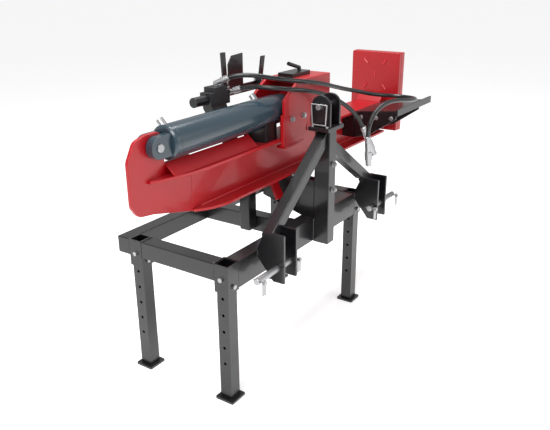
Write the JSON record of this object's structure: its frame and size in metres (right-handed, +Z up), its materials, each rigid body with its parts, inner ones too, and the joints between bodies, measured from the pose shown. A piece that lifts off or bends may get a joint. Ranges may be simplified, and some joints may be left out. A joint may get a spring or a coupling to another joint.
{
  "type": "log splitter",
  "caption": "Three-point-hitch hydraulic log splitter on an adjustable black tube stand, with a red beam and two-hand control.",
  "frame": {"origin": "middle of the machine's outline, at the ground under the feet", "axes": "+X along the beam towards the foot plate, -Y towards the tractor, +Z up"},
  "size_m": [1.585, 0.6553, 1.088],
  "materials": {
    "red_paint": "gloss red paint over welded plate",
    "black_paint": "gloss black powder coat",
    "cylinder_paint": "slate grey-blue machine enamel",
    "zinc_plate": "bright zinc plate",
    "hard_chrome": "polished hard chrome",
    "machined_steel": "turned steel",
    "hose_rubber": "smooth hydraulic hose cover",
    "valve_casting": "painted casting"
  },
  "bodies": {
    "stand": {"anchor_plate": "red_paint", "beam_flanges": "red_paint", "beam_lug": "red_paint", "beam_seat": "black_paint", "beam_web": "red_paint", "control_bracket": "black_paint", "cross_rails": "black_paint", "cylinder_anchor_pin": "zinc_plate", "cylinder_barrel": "cylinder_paint", "cylinder_base": "cylinder_paint", "cylinder_gland": "cylinder_paint", "cylinder_guard_strip": "red_paint", "cylinder_saddle": "black_paint", "detent_cap": "black_paint", "foot_plate": "red_paint", "foot_plate_rim": "red_paint", "foot_step": "red_paint", "frame_bolts": "zinc_plate", "hitch_braces": "black_paint", "hitch_rail": "black_paint", "hose_loop": "hose_rubber", "hose_short": "hose_rubber", "hydraulic_fittings": "zinc_plate", "leg_clamp_bolts": "zinc_plate", "leg_sockets": "black_paint", "lever_guard": "black_paint", "lever_pins": "zinc_plate", "log_wing": "black_paint", "lower_hitch_plates": "black_paint", "mast": "black_paint", "operator_rail": "black_paint", "quick_coupler_loop": "zinc_plate", "quick_coupler_short": "zinc_plate", "short_post": "black_paint", "top_link_clevis": "black_paint", "valve_body": "valve_casting", "wing_bolts": "zinc_plate", "wing_brackets": "black_paint"},
    "carriage": {"carriage_sides": "red_paint", "carriage_top": "red_paint", "carriage_cross_plates": "red_paint", "carriage_keepers": "red_paint", "carriage_bolts": "zinc_plate", "wedge": "red_paint", "carriage_cover": "black_paint"},
    "ram": {"cylinder_rod": "hard_chrome", "cylinder_piston": "machined_steel"},
    "lower_pin_near": {"lower_hitch_pin_near": "zinc_plate", "lower_pin_clips_near": "zinc_plate"},
    "lower_pin_far": {"lower_hitch_pin_far": "zinc_plate", "lower_pin_clips_far": "zinc_plate"},
    "top_pin": {"top_link_pin": "zinc_plate", "top_pin_bail": "zinc_plate"},
    "lever_left": {"control_lever_left": "black_paint"},
    "lever_right": {"control_lever_right": "black_paint"},
    "spool": {"valve_spool": "machined_steel"},
    "leg_near_left": {"leg_near_left": "black_paint"},
    "leg_near_right": {"leg_near_right": "black_paint"},
    "leg_far_right": {"leg_far_right": "black_paint"},
    "leg_far_left": {"leg_far_left": "black_paint"}
  },
  "joints": [
    {"name": "carriage_slide", "type": "slide", "parent": "stand", "child": "carriage", "axis": [1, 0, 0], "range_m": [0, 0.4]},
    {"name": "ram_slide", "type": "slide", "parent": "stand", "child": "ram", "axis": [1, 0, 0], "range_m": [0, 0.4]},
    {"name": "lever_left_swing", "type": "hinge", "parent": "stand", "child": "lever_left", "pos_m": [-0.1655, 0.108, 0.966], "axis": [0, 1, 0], "range_deg": [-18, 18], "stiffness_Nm_per_rad": 4},
    {"name": "lever_right_swing", "type": "hinge", "parent": "stand", "child": "lever_right", "pos_m": [0.0425, 0.108, 0.966], "axis": [0, 1, 0], "range_deg": [-18, 18], "stiffness_Nm_per_rad": 4},
    {"name": "spool_slide", "type": "slide", "parent": "stand", "child": "spool", "axis": [-1, 0, 0], "range_m": [-0.0067, 0.0067]},
    {"name": "lower_pin_near_turn", "type": "hinge", "parent": "stand", "child": "lower_pin_near", "pos_m": [-0.359, -0.265, 0.455], "axis": [1, 0, 0], "range_deg": [-40, 40]},
    {"name": "lower_pin_far_turn", "type": "hinge", "parent": "stand", "child": "lower_pin_far", "pos_m": [0.324, -0.265, 0.455], "axis": [1, 0, 0], "range_deg": [-40, 40]},
    {"name": "top_pin_turn", "type": "hinge", "parent": "stand", "child": "top_pin", "pos_m": [-0.0175, -0.2155, 0.915], "axis": [1, 0, 0], "range_deg": [-35, 35]},
    {"name": "leg_near_left_slide", "type": "slide", "parent": "stand", "child": "leg_near_left", "axis": [0, 0, 1], "range_m": [0, 0.12]},
    {"name": "leg_near_right_slide", "type": "slide", "parent": "stand", "child": "leg_near_right", "axis": [0, 0, 1], "range_m": [0, 0.12]},
    {"name": "leg_far_right_slide", "type": "slide", "parent": "stand", "child": "leg_far_right", "axis": [0, 0, 1], "range_m": [0, 0.12]},
    {"name": "leg_far_left_slide", "type": "slide", "parent": "stand", "child": "leg_far_left", "axis": [0, 0, 1], "range_m": [0, 0.12]}
  ],
  "couplings": [
    {"joint": "ram_slide", "follows": "carriage_slide", "ratio": 1},
    {"joint": "spool_slide", "follows": "lever_left_swing", "m_per_rad": 0.021}
  ]
}
